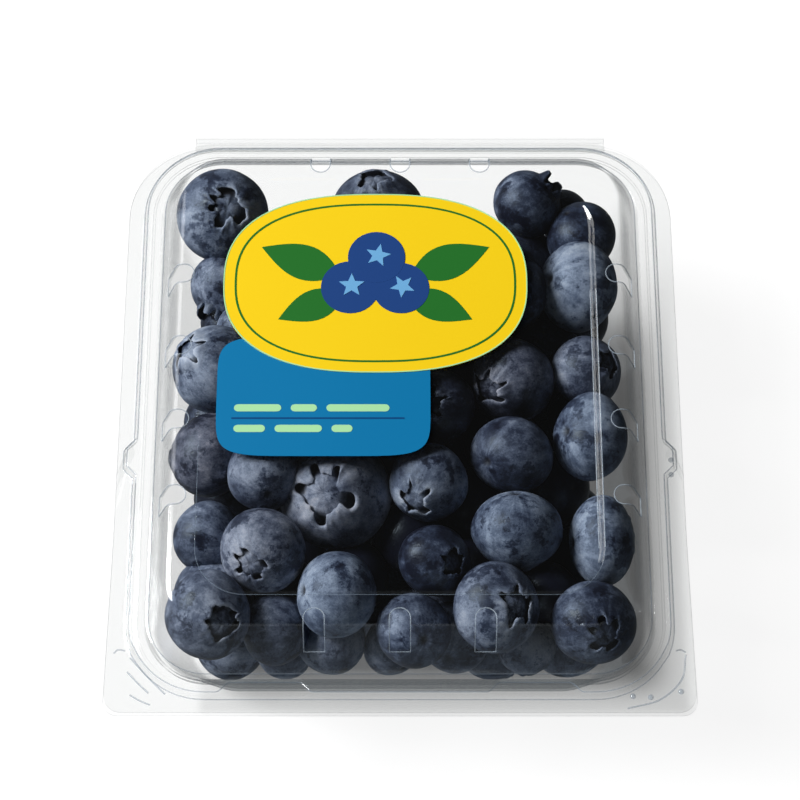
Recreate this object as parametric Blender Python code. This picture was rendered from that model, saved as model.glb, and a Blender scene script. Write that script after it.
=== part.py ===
"""A clear hinged clamshell punnet of blueberries, closed, with a sticker on its lid.

The punnet stands on z = 0 with its middle on the Z axis and its finger tabs towards -Y.
Sizes below are in millimetres and are turned into Blender's metres by MM.
"""

import math
from collections import namedtuple

import bmesh
import bpy
from mathutils import Matrix, Vector

MM = 0.001

# ---- the sheet and the rim -------------------------------------------------
SHEET = 0.5  # wall of the thermoformed plastic
PLY_GAP = 0.3  # between the tray's flange and the lid's
TRAY_FLANGE_TOP = 26.7
LID_FLANGE_TOP = TRAY_FLANGE_TOP + PLY_GAP + SHEET
RING_HEIGHT = 2.0  # the lid's raised rim above its flange
DOME_HEIGHT = 13.6  # the lid's top above its flange
DOME_EDGE_X, DOME_EDGE_Y = 43.3, 49.2  # half sizes of the dome where its wall bends into its top
PANEL_DROP = 0.7  # the sticker's field lies this much below the lid's top
BEAD_HEIGHT = 1.0  # the tray's bead above its own flange

# ---- finger tabs and latch pads at the front -------------------------------
TAB_FLARE = 0.6
TAB_FROM, TAB_LENGTH = -44.0, 18.0
TAB_INNER = 50.0  # only what is further out than this is flared
PAD_DROP = 1.0  # the two latch pads step down from the ring's top
PAD_INSET = 2.2

# ---- edges of the two flanges ----------------------------------------------
LID_EDGE_X, LID_EDGE_FRONT, LID_EDGE_BACK = 54.8, 61.6, 60.4
TRAY_EDGE_X, TRAY_EDGE_FRONT, TRAY_EDGE_BACK = 55.0, 62.0, 60.0

# ---- living hinge at the back ----------------------------------------------
HINGE_Y = 61.45
HINGE_Z = TRAY_FLANGE_TOP + PLY_GAP
HINGE_LENGTH = 84.0
ROLL_OUTER, ROLL_INNER = 1.1, 0.75  # the lid's edge rolls over the tray's bead with this section
ROLL_END = 60.0  # degrees above the back of the axis, where the roll stops
PIN_RADIUS = 0.45  # the tray's bead on the axis
STRIP_REACH = 2.6  # how far the hinge strip runs in over the flanges
STRIP_CLEAR = 0.05  # how much thinner than the flanges the strips are, on each side
NECK_START, NECK_END = 1.45, -0.1  # in front of the axis: where the tray's strip thins and meets the bead
NECK_TOP, NECK_BOTTOM = 0.35, 0.6  # its two sides, under the axis

# ---- vents -----------------------------------------------------------------
VENT_WIDTH = 3.9
VENT_REACH = 3.2  # from the lid's top edge in over its flat top
VENT_BOTTOM = 7.2  # above the lid's flange
VENT_RUN_OUT = 8.0  # past the wall
END_VENT_PITCH = 15.8
SIDE_VENT_PITCH = 15.6
BASE_VENT_SIZE = (4.0, 14.0)
BASE_VENT_X = 21.0
BASE_VENT_PITCH = 28.0

# ---- sticker ---------------------------------------------------------------
STICKER_SHEET = 0.3
STICKER_LIFT = 0.3
Superellipse = namedtuple("Superellipse", "x y half_x half_y power")
OVAL = Superellipse(-4.8, 21.6, 29.6, 19.6, 2.5)
FIELD = Superellipse(-14.6, -2.8, 20.4, 12.6, 6.0)
STICKER_HUB = (-14.0, 6.0)  # a point inside both shapes, from which the outline is swept
STICKER_POINTS = 84

# ---- berries ---------------------------------------------------------------
HEAP_TOP = 39.4
CORE_INSET = 6.5  # how deep the dips between the outer berries reach
HEAP_VOXEL = 1.5
HEAP_SHARE = 0.13  # of the remeshed faces that the heap keeps
# Berries of the top layer: across, along and up to the centre, and radius.
TOP_BERRIES = (
    (-36.0, 43.0, 28.5, 9.5), (-4.5, 43.0, 30.0, 9.2), (25.5, 45.0, 30.0, 7.2), (36.5, 38.5, 28.5, 7.3),
    (-35.5, 29.5, 22.5, 7.1), (-20.0, 27.0, 27.5, 8.6), (-3.0, 26.5, 27.5, 9.0), (11.5, 34.0, 26.5, 7.8),
    (21.0, 24.0, 30.5, 8.5), (35.5, 26.0, 30.5, 8.7), (-36.5, 7.5, 30.5, 8.7), (-31.0, 18.5, 25.5, 5.8),
    (-5.5, 8.0, 27.0, 8.2), (7.0, -1.0, 31.5, 7.4), (21.5, 5.5, 30.5, 8.8), (36.5, 7.5, 30.5, 7.1),
    (-37.0, -9.0, 26.5, 8.1), (-26.0, -15.5, 32.0, 7.3), (-12.5, -17.0, 27.0, 10.9), (5.5, -17.0, 31.5, 7.6),
    (21.5, -11.0, 31.0, 8.0), (37.0, -7.0, 31.0, 8.2), (-37.0, -25.5, 24.5, 7.0), (-26.0, -31.0, 31.0, 8.1),
    (-12.0, -39.5, 30.5, 8.4), (6.5, -33.0, 31.0, 6.9), (22.0, -26.5, 30.5, 8.3), (38.5, -27.5, 28.5, 7.6),
    (-36.0, -43.5, 30.5, 8.3), (-23.5, -44.0, 24.0, 6.8), (2.5, -46.0, 28.5, 7.1), (18.0, -42.0, 30.5, 8.5),
    (36.5, -44.5, 28.5, 8.0), (9.0, 15.5, 28.5, 7.6), (33.5, 45.5, 24.0, 5.5),
)
# Rows under them: height, place along the tray, half of the row's span and how many berries.
LOWER_ROWS = (  # height, place along the tray, half of the row's span, count, radius
    (22.0, -46.5, 12.0, 2, 6.6), (14.0, -45.5, 37.0, 5, 7.8), (19.0, -47.0, 25.0, 3, 6.2),
    (15.0, -37.0, 29.0, 2, 6.5), (19.5, -31.0, 36.0, 5, 7.8), (17.5, -13.0, 28.0, 4, 7.6),
    (17.5, 3.0, 35.0, 5, 7.6), (17.5, 18.0, 28.0, 4, 7.6), (17.5, 34.0, 33.0, 5, 7.6),
    (9.2, -38.0, 28.0, 5, 7.6), (9.2, -23.0, 31.0, 5, 7.6), (9.2, -8.0, 26.0, 4, 7.6),
    (9.2, 8.0, 31.0, 5, 7.6), (9.2, 23.0, 26.0, 4, 7.6), (9.2, 38.0, 28.0, 5, 7.6),
)
SETTLE_ROUNDS = 60
WALL_LEAN = 1.03
TOUCH = 0.97  # share of two radii that may lie between settled centres

# ---- colours ---------------------------------------------------------------
CLEAR, CLEAR_ALPHA = (0.90, 0.92, 0.92), 0.3
BERRY_BLUE = (0.075, 0.095, 0.15)
STICKER_YELLOW = (0.98, 0.72, 0.01)

# ---- how outlines are drawn --------------------------------------------------
Outline = namedtuple("Outline", "half_x front back front_radius back_radius")
Station = namedtuple("Station", "outline height pad")

CORNER_STEPS = 6
FRONT_MARKS = (-0.95, -0.86, -0.52, -0.44, 0.44, 0.52, 0.86, 0.95)
SIDE_MARKS = (-0.55, 0.55)
PAD_FROM, PAD_TO = 0.48, 0.905  # along the front's straight run, as shares of its half


def even(half_x, half_y, radius):
    """An outline that is the same at the front and the back."""
    return Outline(half_x, half_y, half_y, radius, radius)


def arc(radius, start, stop, steps=CORNER_STEPS, centre=(0.0, 0.0)):
    """A circular arc's points, between two angles in degrees."""
    angles = (math.radians(start + (stop - start) * i / steps) for i in range(steps + 1))
    return [(centre[0] + radius * math.cos(a), centre[1] + radius * math.sin(a)) for a in angles]


def outline_points(outline):
    """A rounded rectangle, anticlockwise from its front left corner."""
    half_x, front, back, front_r, back_r = outline
    front_run = half_x - front_r
    back_run = half_x - back_r
    side_low = -front + front_r
    side_high = back - back_r
    side_mid = (side_low + side_high) / 2
    side_run = (side_high - side_low) / 2
    points = arc(front_r, 180.0, 270.0, centre=(-front_run, side_low))
    points += [(front_run * m, -front) for m in FRONT_MARKS]
    points += arc(front_r, 270.0, 360.0, centre=(front_run, side_low))
    points += [(half_x, side_mid + side_run * m) for m in SIDE_MARKS]
    points += arc(back_r, 0.0, 90.0, centre=(back_run, side_high))
    points += [(-back_run * m, back) for m in SIDE_MARKS]
    points += arc(back_r, 90.0, 180.0, centre=(-back_run, side_high))
    points += [(-half_x, side_mid - side_run * m) for m in SIDE_MARKS]
    return points


def pad_share(x, outline):
    """1 over the two latch pads and 0 beside them."""
    share = abs(x) / (outline.half_x - outline.front_radius)
    return 1.0 if PAD_FROM < share < PAD_TO else 0.0


def station_points(station, base):
    """One closed loop of the sheet, with its latch pads pushed in and down where it has them."""
    inset, drop = station.pad
    points = []
    for x, y in outline_points(station.outline):
        on_front = y < 0 and abs(y + station.outline.front) < 1e-6
        share = pad_share(x, station.outline) if on_front else 0.0
        points.append(Vector((x, y + inset * share, base + station.height - drop * share)))
    return points


def offset_stations(stations, thickness):
    """The same run of stations, moved by the sheet's thickness towards its lower side."""
    moved = []
    for i, station in enumerate(stations):
        before = stations[max(i - 1, 0)]
        after = stations[min(i + 1, len(stations) - 1)]
        runs = []
        for a, b in ((before, station), (station, after)):
            run = Vector((b.outline.half_x - a.outline.half_x, b.height - a.height))
            if run.length > 0:
                runs.append(run.normalized())
        along = (runs[0] + runs[-1]).normalized()
        normal = Vector((-along.y, along.x))
        mitre = thickness / normal.dot(Vector((-runs[0].y, runs[0].x)))
        out = normal.x * mitre
        wider = Outline(*(size + out for size in station.outline))
        moved.append(Station(wider, station.height + normal.y * mitre, station.pad))
    return moved


def flare_tabs(point):
    """Widens the flange towards its two front corners."""
    reach = min(max((TAB_FROM - point.y) / TAB_LENGTH, 0.0), 1.0)
    if abs(point.x) > TAB_INNER:
        point.x += math.copysign(TAB_FLARE * reach, point.x)
    return point


def shell_mesh(stations, base):
    """A closed shell: the stations' upper side and, one sheet below, their lower side."""
    upper = [station_points(s, base) for s in stations]
    lower = [station_points(s, base) for s in offset_stations(stations, SHEET)]
    work = bmesh.new()
    rings = [[work.verts.new(flare_tabs(p) * MM) for p in loop] for loop in lower[::-1] + upper]
    for low, high in zip(rings, rings[1:]):
        for i in range(len(low)):
            j = (i + 1) % len(low)
            work.faces.new((low[i], low[j], high[j], high[i]))
    work.faces.new(rings[0])
    work.faces.new(rings[-1])
    bmesh.ops.recalc_face_normals(work, faces=work.faces)
    return work


def prism_mesh(points, low, high, place):
    """An outline pulled up from `low` to `high` and then put in place."""
    work = bmesh.new()
    face = work.faces.new([work.verts.new(Vector((x, y, low)) * MM) for x, y in points])
    pulled = bmesh.ops.extrude_face_region(work, geom=[face])["geom"]
    top = [v for v in pulled if isinstance(v, bmesh.types.BMVert)]
    bmesh.ops.translate(work, vec=Vector((0, 0, high - low)) * MM, verts=top)
    bmesh.ops.recalc_face_normals(work, faces=work.faces)
    bmesh.ops.transform(work, matrix=place, verts=work.verts)
    return work


def add_object(name, work, material=None):
    """Turns a bmesh into an object in the scene."""
    mesh = bpy.data.meshes.new(name)
    work.to_mesh(mesh)
    work.free()
    mesh.shade_smooth()
    mesh.set_sharp_from_angle(angle=math.radians(35))
    if material:
        mesh.materials.append(material)
    made = bpy.data.objects.new(name, mesh)
    bpy.context.scene.collection.objects.link(made)
    return made


def add_helper(name, work):
    """A cutter or a joining shape, which isn't part of the punnet by itself."""
    made = add_object(name, work)
    made.hide_render = True
    made.display_type = "WIRE"
    return made


def combine(target, helper, operation):
    boolean = target.modifiers.new(helper.name, "BOOLEAN")
    boolean.object = helper
    boolean.operation = operation
    boolean.solver = "EXACT"


def plastic(name, colour, roughness, alpha=1.0):
    material = bpy.data.materials.new(name)
    material.use_nodes = True
    shader = material.node_tree.nodes["Principled BSDF"]
    shader.inputs["Base Color"].default_value = (*colour, 1.0)
    shader.inputs["Roughness"].default_value = roughness
    shader.inputs["Metallic"].default_value = 0.0
    shader.inputs["Alpha"].default_value = alpha
    return material


# ---- the lid ----------------------------------------------------------------


def lid_stations():
    """From the flange's edge in over the raised rim, up the dome's wall and over its top."""
    plain = (0.0, 0.0)
    return (
        Station(Outline(LID_EDGE_X, LID_EDGE_FRONT, LID_EDGE_BACK, 3.6, 17.0), 0.0, plain),
        Station(even(51.7, 59.1, 15.3), 0.0, plain),
        Station(even(51.4, 58.8, 15.0), RING_HEIGHT - 0.6, (0.0, PAD_DROP)),
        Station(even(50.9, 58.3, 14.5), RING_HEIGHT, (PAD_INSET, PAD_DROP)),
        Station(even(50.5, 57.9, 14.1), RING_HEIGHT, (PAD_INSET, 0.0)),
        Station(even(47.4, 54.8, 11.3), RING_HEIGHT, plain),
        Station(even(43.9, 49.8, 9.1), DOME_HEIGHT - 1.3, plain),
        Station(even(DOME_EDGE_X, DOME_EDGE_Y, 8.6), DOME_HEIGHT - 0.35, plain),
        Station(even(42.4, 48.3, 8.0), DOME_HEIGHT, plain),
        Station(even(38.1, 43.4, 9.4), DOME_HEIGHT, plain),
        Station(even(37.0, 42.3, 8.6), DOME_HEIGHT - PANEL_DROP, plain),
        Station(even(34.0, 39.3, 6.6), DOME_HEIGHT - PANEL_DROP, plain),
    )


def vent_outline():
    """A slot's plan: a round end over the lid's top, and straight sides out past its wall."""
    half = VENT_WIDTH / 2
    round_end = arc(half, 90.0, 270.0, centre=(half - VENT_REACH, 0.0))
    return round_end + [(VENT_RUN_OUT, -half), (VENT_RUN_OUT, half)]


def vent_places():
    """Where each slot crosses the dome's top edge, and the way it faces, in degrees."""
    places = []
    for i in (-1, 0, 1):
        places.append((i * END_VENT_PITCH, -DOME_EDGE_Y, -90.0))
        places.append((i * END_VENT_PITCH, DOME_EDGE_Y, 90.0))
    for i in (-1.5, -0.5, 0.5, 1.5):
        places.append((DOME_EDGE_X, i * SIDE_VENT_PITCH, 0.0))
        places.append((-DOME_EDGE_X, i * SIDE_VENT_PITCH, 180.0))
    return places


def cut_lid_vents(lid):
    low = LID_FLANGE_TOP + VENT_BOTTOM
    high = LID_FLANGE_TOP + DOME_HEIGHT + 2.0
    for i, (x, y, facing) in enumerate(vent_places()):
        place = Matrix.Translation(Vector((x, y, 0)) * MM) @ Matrix.Rotation(math.radians(facing), 4, "Z")
        cutter = add_helper(f"lid_vent_cutter_{i:02d}", prism_mesh(vent_outline(), low, high, place))
        combine(lid, cutter, "DIFFERENCE")


# ---- the hinge --------------------------------------------------------------


def hinge_strip(name, section):
    """Pulls a section, drawn about the joint's axis with +X as the back, along the hinge."""
    lie_down = Matrix(((0, 0, 1, 0), (1, 0, 0, 0), (0, 1, 0, 0), (0, 0, 0, 1)))
    place = Matrix.Translation(Vector((0, HINGE_Y, HINGE_Z)) * MM) @ lie_down
    return add_helper(name, prism_mesh(section, -HINGE_LENGTH / 2, HINGE_LENGTH / 2, place))


def lid_roll_section():
    """The lid's hinge strip, which ends in a roll over the tray's bead."""
    low, high = STRIP_CLEAR, SHEET - STRIP_CLEAR
    outer_start = 180.0 - math.degrees(math.asin(high / ROLL_OUTER))
    inner_start = 180.0 - math.degrees(math.asin(low / ROLL_INNER))
    outer = arc(ROLL_OUTER, ROLL_END, outer_start)
    inner = arc(ROLL_INNER, inner_start, ROLL_END)
    return outer + [(-STRIP_REACH, high), (-STRIP_REACH, low)] + inner


def tray_pin_section():
    """The tray's hinge strip: a thin neck that carries a bead on the joint's axis."""
    low = STRIP_CLEAR - PLY_GAP - SHEET
    meets = 180.0 + math.degrees(math.asin(NECK_TOP / PIN_RADIUS))
    strip = [(-STRIP_REACH, -NECK_TOP), (-STRIP_REACH, low), (-NECK_START, low)]
    strip += [(-NECK_START, -NECK_BOTTOM), (-NECK_END, -NECK_BOTTOM)]
    return strip + arc(PIN_RADIUS, -45.0, meets, steps=9)


# ---- the tray ---------------------------------------------------------------


def tray_stations():
    """From the flange's edge in over the bead, down the drafted wall and over the base."""
    plain = (0.0, 0.0)
    base = SHEET - TRAY_FLANGE_TOP
    return (
        Station(Outline(TRAY_EDGE_X, TRAY_EDGE_FRONT, TRAY_EDGE_BACK, 3.0, 16.6), 0.0, plain),
        Station(even(50.2, 57.6, 13.8), 0.0, plain),
        Station(even(49.9, 57.3, 13.5), BEAD_HEIGHT, plain),
        Station(even(47.9, 55.3, 11.6), BEAD_HEIGHT, plain),
        Station(even(47.3, 54.7, 11.2), -2.5, plain),
        Station(even(46.3, 53.7, 10.4), -3.3, plain),
        Station(even(41.2, 48.6, 9.8), base + 1.5, plain),
        Station(even(39.4, 46.8, 8.8), base, plain),
        Station(even(36.4, 43.8, 6.8), base, plain),
    )


def slot_outline(width, length):
    half = width / 2
    run = length / 2 - half
    return arc(half, 180.0, 360.0, centre=(0.0, -run)) + arc(half, 0.0, 180.0, centre=(0.0, run))


def cut_base_vents(tray):
    for column in (-1, 1):
        for row in (-1, 0, 1):
            place = Matrix.Translation(Vector((column * BASE_VENT_X, row * BASE_VENT_PITCH, 0)) * MM)
            slot = prism_mesh(slot_outline(*BASE_VENT_SIZE), -1.0, 2.0, place)
            combine(tray, add_helper(f"base_vent_cutter_{column}_{row}", slot), "DIFFERENCE")


# ---- the sticker ------------------------------------------------------------


def inside(shape, x, y):
    across = abs((x - shape.x) / shape.half_x) ** shape.power
    along = abs((y - shape.y) / shape.half_y) ** shape.power
    return across + along < 1.0


def sticker_outline():
    """The edge of the two overlapping fields, found along rays from a point inside both."""
    points = []
    for i in range(STICKER_POINTS):
        angle = 2 * math.pi * i / STICKER_POINTS
        near, far = 0.0, 80.0
        while far - near > 0.001:
            middle = (near + far) / 2
            x = STICKER_HUB[0] + middle * math.cos(angle)
            y = STICKER_HUB[1] + middle * math.sin(angle)
            if inside(OVAL, x, y) or inside(FIELD, x, y):
                near = middle
            else:
                far = middle
        points.append((STICKER_HUB[0] + near * math.cos(angle), STICKER_HUB[1] + near * math.sin(angle)))
    return points


# ---- the heap of berries ----------------------------------------------------

# Height, half width, half length and corner radius of the room that the berries fill.
ROOM = (
    (1.1, 38.4, 45.8, 8.0),
    (3.0, 40.0, 47.4, 9.0),
    (22.0, 44.8, 52.2, 9.6),
    (28.5, 46.2, 53.6, 9.6),
    (38.0, 43.2, 49.4, 8.0),
    (HEAP_TOP, 42.6, 48.6, 8.0),
)


def room_at(height):
    """Half width, half length and corner radius of the room at a height."""
    for low, high in zip(ROOM, ROOM[1:]):
        if height <= high[0]:
            share = max((height - low[0]) / (high[0] - low[0]), 0.0)
            return [a + (b - a) * share for a, b in zip(low[1:], high[1:])]
    return ROOM[-1][1:]


def keep_in_room(centre, radius):
    """Pushes a berry in from the leaning walls, the base and the lid."""
    centre.z = min(max(centre.z, ROOM[0][0] + radius), HEAP_TOP - radius)
    half_x, half_y, corner = room_at(centre.z)
    radius *= WALL_LEAN
    spare_x = max(half_x - radius, 0.0)
    spare_y = max(half_y - radius, 0.0)
    centre.x = min(max(centre.x, -spare_x), spare_x)
    centre.y = min(max(centre.y, -spare_y), spare_y)
    out = Vector((max(abs(centre.x) - (half_x - corner), 0.0), max(abs(centre.y) - (half_y - corner), 0.0)))
    allowed = max(corner - radius, 0.0)
    if out.length > allowed:
        back = out - out.normalized() * allowed
        centre.x -= math.copysign(back.x, centre.x)
        centre.y -= math.copysign(back.y, centre.y)


def lower_berries():
    """The rows under the top layer, with an even unevenness of place and size."""
    berries = []
    for height, along, half_span, count, radius in LOWER_ROWS:
        for i in range(count):
            sway = math.sin(12.9 * along + 7.3 * i + height)
            across = half_span * (2 * i / (count - 1) - 1)
            centre = Vector((across + sway, along - sway, height + 0.5 * sway))
            berries.append([centre, radius + 0.6 * sway])
    return berries


def settled_berries():
    """The top layer as it lies, and the lower berries eased apart under it."""
    berries = [[Vector(b[:3]), b[3]] for b in TOP_BERRIES]
    shown = len(berries)
    berries += lower_berries()
    for _ in range(SETTLE_ROUNDS):
        for j in range(shown, len(berries)):
            second, second_radius = berries[j]
            for i in range(j):
                first, first_radius = berries[i]
                apart = second - first
                short = TOUCH * (first_radius + second_radius) - apart.length
                if short <= 0:
                    continue
                push = apart.normalized() * short * 0.5
                second += push
                if i >= shown:
                    first -= push
        for centre, radius in berries[shown:]:
            keep_in_room(centre, radius)
    return berries


def add_core(work):
    """The heap's inside: the room, drawn in on all sides."""
    rings = []
    for height, half_x, half_y, corner in ROOM[1:-1]:
        inner = even(half_x - CORE_INSET, half_y - CORE_INSET, corner)
        level = min(height + (CORE_INSET if height < HEAP_TOP / 2 else 0.0), HEAP_TOP - 1.6 * CORE_INSET)
        rings.append([work.verts.new(Vector((x, y, level)) * MM) for x, y in outline_points(inner)])
    for low, high in zip(rings, rings[1:]):
        for i in range(len(low)):
            j = (i + 1) % len(low)
            work.faces.new((low[i], low[j], high[j], high[i]))
    work.faces.new(rings[0][::-1])
    work.faces.new(rings[-1])


def heap_mesh():
    """The berries and the core as they overlap, before they are made one skin."""
    work = bmesh.new()
    for centre, radius in settled_berries():
        place = Matrix.Translation(centre * MM)
        bmesh.ops.create_icosphere(work, subdivisions=3, radius=radius * MM, matrix=place)
    add_core(work)
    return work


def make_one_skin(heap):
    """Turns the overlapping shapes into one closed solid with few faces."""
    remesh = heap.modifiers.new("one_skin", "REMESH")
    remesh.mode = "VOXEL"
    remesh.voxel_size = HEAP_VOXEL * MM
    fewer = heap.modifiers.new("fewer_faces", "DECIMATE")
    fewer.ratio = HEAP_SHARE


# ---- putting it together ----------------------------------------------------


def build():
    for leftover in list(bpy.data.objects):
        bpy.data.objects.remove(leftover, do_unlink=True)

    clear_tray = plastic("clear_tray", CLEAR, 0.08, CLEAR_ALPHA)
    tray = add_object("tray", shell_mesh(tray_stations(), TRAY_FLANGE_TOP), clear_tray)
    combine(tray, hinge_strip("tray_pin_strip", tray_pin_section()), "UNION")
    cut_base_vents(tray)

    berry_blue = plastic("berry_blue", BERRY_BLUE, 0.6)
    make_one_skin(add_object("berries", heap_mesh(), berry_blue))

    axis = Vector((0, HINGE_Y, HINGE_Z)) * MM
    hinge = bpy.data.objects.new("lid_hinge", None)
    hinge.location = axis
    bpy.context.scene.collection.objects.link(hinge)

    clear_lid = plastic("clear_lid", CLEAR, 0.08, CLEAR_ALPHA)
    lid = add_object("lid", shell_mesh(lid_stations(), LID_FLANGE_TOP), clear_lid)
    combine(lid, hinge_strip("lid_roll_strip", lid_roll_section()), "UNION")
    cut_lid_vents(lid)

    low = LID_FLANGE_TOP + DOME_HEIGHT - PANEL_DROP + STICKER_LIFT
    label = prism_mesh(sticker_outline(), low, low + STICKER_SHEET, Matrix.Identity(4))
    sticker = add_object("sticker", label, plastic("sticker_yellow", STICKER_YELLOW, 0.4))

    for piece in (lid, sticker):
        piece.parent = hinge
        piece.matrix_parent_inverse = Matrix.Translation(-axis)


build()
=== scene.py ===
"""The looks of a closed, clear punnet of blueberries with a sticker on its lid.

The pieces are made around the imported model: a thin clear tray and lid, each berry with its crown and
stem scar, the sticker with a plain print, a pale floor, soft light and the camera.
Sizes are in millimetres, and MM turns them into metres.
"""

import math
from collections import namedtuple

import bmesh
import bpy
import numpy as np
from mathutils import Matrix, Vector


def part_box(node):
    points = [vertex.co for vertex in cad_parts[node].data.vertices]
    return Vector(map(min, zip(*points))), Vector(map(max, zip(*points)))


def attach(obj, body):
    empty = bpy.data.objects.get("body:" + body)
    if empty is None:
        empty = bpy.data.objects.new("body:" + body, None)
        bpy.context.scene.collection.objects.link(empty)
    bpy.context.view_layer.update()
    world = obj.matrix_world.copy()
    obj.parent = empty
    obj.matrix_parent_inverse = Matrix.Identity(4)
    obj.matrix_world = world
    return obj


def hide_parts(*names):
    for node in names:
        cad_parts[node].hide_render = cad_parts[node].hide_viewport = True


MM = 0.001

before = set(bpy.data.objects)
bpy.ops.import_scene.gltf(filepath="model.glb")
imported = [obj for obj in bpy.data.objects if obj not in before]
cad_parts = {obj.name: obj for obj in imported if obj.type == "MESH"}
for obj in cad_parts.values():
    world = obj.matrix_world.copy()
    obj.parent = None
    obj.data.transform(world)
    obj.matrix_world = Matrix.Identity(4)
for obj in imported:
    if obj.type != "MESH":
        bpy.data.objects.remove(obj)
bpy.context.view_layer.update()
tray_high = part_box("tray")[1] / MM
lid_low, lid_high = (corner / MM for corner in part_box("lid"))
sticker_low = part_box("sticker")[0] / MM

# ---- clear sheet ----
SHEET = 0.5
SHEET_SHARP = 35.0
LID_FLANGE_TOP = lid_low.z + SHEET
TRAY_FLANGE_TOP = tray_high.z - 1.0
BEAD_HEIGHT = 1.0
RING_HEIGHT = 2.0
DOME_HEIGHT = lid_high.z - LID_FLANGE_TOP
PANEL_DROP = 0.7
DOME_EDGE_X, DOME_EDGE_Y = 43.3, 49.2
PLAIN = (0.0, 0.0, 0.0)
BEND_STEPS = 5
CORNER_STEPS = 14

# ---- finger tabs, latch pads and side boss ----
TAB_FLARE = 0.6
TAB_FROM, TAB_LENGTH = -44.0, 18.0
TAB_INNER = 50.0
PAD_DROP = 1.0
PAD_INSET = 2.2
PAD_FROM, PAD_TO = 0.48, 0.905
PAD_EASE = 0.035
BOSS_Y, BOSS_HALF, BOSS_REACH = -10.5, 4.0, 1.9

# ---- vents ----
VENT_WIDTH = 3.9
VENT_REACH = 3.2
VENT_BOTTOM = 7.2
VENT_RUN_OUT = 8.0
END_VENT_PITCH = 15.8
SIDE_VENT_PITCH = 15.6
BASE_VENT_SIZE = (14.0, 4.0)
BASE_VENT_X = 21.0
BASE_VENT_PITCH = 28.0
CUT_SPARE, BASE_CUT = 2.0, (-1.0, 2.0)
LIP_RADIUS = 0.11
WALL_FROM = -0.5

# ---- creases of the lid, by their stations in lid_rows() ----
FIELD_EDGE = 9
CREASES = (  # station, how deep the bead lies, radius
    (FIELD_EDGE, 0.05, 0.065), (5, 0.0, 0.09), (3, 0.0, 0.11), (1, -0.1, 0.11),
)
FIELD_CREASE_END = -12.0
FIELD_SHINE = (-34.0, 20.0)

# ---- ribs and dots pressed into the flange, and how far they stand in it ----
RIBS = (
    ((-50.6, -51.0), (-47.0, -54.9), (-43.8, -58.1)),
    ((-51.0, -53.8), (-49.0, -55.9), (-46.9, -57.9)),
    ((-50.3, -58.3), (-48.4, -59.4), (-46.5, -60.2)),
    ((-53.7, -50.1), (-52.9, -49.4), (-51.6, -49.6)),
    ((51.8, -49.6), (52.7, -49.4), (53.6, -49.9)),
    ((42.3, -60.9), (48.4, -59.2), (52.6, -55.3), (53.6, -50.4)),
)
DOTS = ((43.4, -58.5), (46.7, -58.7), (52.4, -57.6), (52.6, -10.5), (52.5, -13.6))
RIB_RADIUS, RIB_RISE = 0.16, 0.02
DOT_RADIUS, DOT_HEIGHT = 0.55, 0.35
DOT_ROOT, DOT_SINK = 0.1, 0.02

# ---- hinge ----
HINGE_Y = 61.45
HINGE_Z = lid_low.z
HINGE_LENGTH = 84.0
ROLL_OUTER, ROLL_INNER = 1.1, 0.75
ROLL_END = 60.0
PIN_RADIUS = 0.45
STRIP_REACH = 2.6
STRIP_CLEAR = 0.05
NECK_START, NECK_END = 1.45, -0.1
NECK_TOP, NECK_BOTTOM = 0.35, 0.6
PLY_GAP = 0.3

# ---- clear film ----
BLACK, WHITE = (0.0, 0.0, 0.0), (1.0, 1.0, 1.0)
SHEET_TINT, SHEET_HAZE = (0.989, 0.991, 0.990), (0.9, 0.92, 0.93)
FILMS = {  # how hazy it is, its tint seen square on, the haze's colour
    "clear_tray": (0.004, SHEET_TINT, SHEET_HAZE),
    "clear_lid": (0.002, SHEET_TINT, SHEET_HAZE),
    # The edge film's haze and darker tint paint the light and dark lines of the sheet's bends and ribs:
    # painted highlight and shade.
    "clear_edge_painted_highlight_and_shade": (0.12, (0.86, 0.87, 0.88), (0.62, 0.78, 0.95)),
    # The lip film's haze is partly the whiteness of the slots' cut edges and partly a painted
    # highlight; on the field's edge it is all painted highlight.
    "clear_lip_and_painted_highlight": (0.26, (0.9, 0.91, 0.92), (0.75, 0.86, 0.97)),
}
SLANT_TINT = 0.84
SHINE_POWER, SHINE_GRAZING, SHINE_FACING = 5.0, 0.55, 0.034
SHINE_ROUGHNESS = 0.045

# ---- sticker ----
Superellipse = namedtuple("Superellipse", "x y half_x half_y power")
OVAL = Superellipse(-4.8, 21.6, 29.6, 19.6, 2.5)
FIELD = Superellipse(-14.6, -2.8, 20.4, 12.6, 6.0)
LEAVES = ((7.0, 1.5, 16.5, 7.6, 22.0), (6.0, -2.5, 14.0, 6.6, -24.0))
FRUIT = ((-4.9, -1.2, 5.7), (5.0, -1.4, 5.5), (0.2, 5.4, 5.6))
BARS = ((9.0, 5.0, 12.0), (6.0, 9.0, 4.0))
BAR_START, BAR_DROP, BAR_PITCH = 3.4, 2.6, 4.3
BAR_HEIGHT, BAR_GAP = 1.5, 1.8
RULE_SHIFT, RULE_SIZE, RULE_RISE = (-1.0, -4.75), (33.0, 0.35), 0.03
OVAL_LINE, OVAL_RIM = (2.2, 0.4), (0.0, 0.22)
STICKER_SINK = 0.25
BLUE_THICK, YELLOW_THICK, YELLOW_LIFT = 0.12, 0.22, 0.01
INK_ROOT, INK_RISE = 0.02, 0.04
# The light mark on each fruit: its shift, outer and inner reach as shares of the fruit, rise, turn.
MARK_SHIFT, MARK_REACH, MARK_RISE = (0.3, 0.4), (0.46, 0.2), 0.1
MARK_TURN, MARK_TURN_STEP = 18.0, 30.0
INKS = {
    "blue": (0.0, 0.180, 0.405),
    "yellow": (0.98, 0.65, 0.006),
    "green": (0.016, 0.16, 0.02),
    "fruit": (0.012, 0.055, 0.22),
    "crowns": (0.16, 0.42, 0.72),
    "pale": (0.42, 0.78, 0.40),
    "rule": (0.0, 0.06, 0.2),
}

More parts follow.
